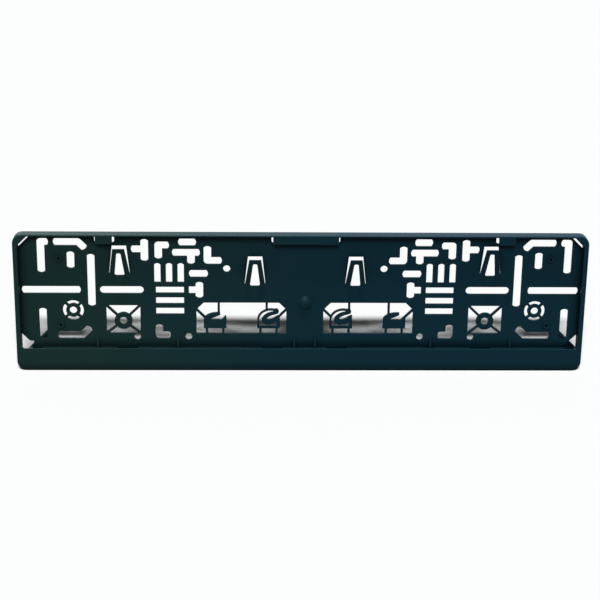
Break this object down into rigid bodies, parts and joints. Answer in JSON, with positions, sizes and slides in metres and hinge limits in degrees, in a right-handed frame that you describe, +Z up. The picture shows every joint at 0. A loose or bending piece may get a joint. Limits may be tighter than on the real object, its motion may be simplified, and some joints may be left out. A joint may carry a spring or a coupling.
{
  "type": "number plate holder",
  "caption": "Flat moulded tray that carries a car number plate, with a slotted base, top tabs, sprung tongues and a plain strip below the plate.",
  "frame": {"origin": "middle of the tray's width and height, on the back face that goes against the car", "axes": "+X to the right seen from the front, +Z up, the front faces -Y"},
  "size_m": [0.531, 0.013, 0.1338],
  "materials": {
    "moulded_plastic": "satin black with a faint moulded grain"
  },
  "bodies": {
    "root": {"plate_holder": "moulded_plastic"}
  },
  "joints": []
}
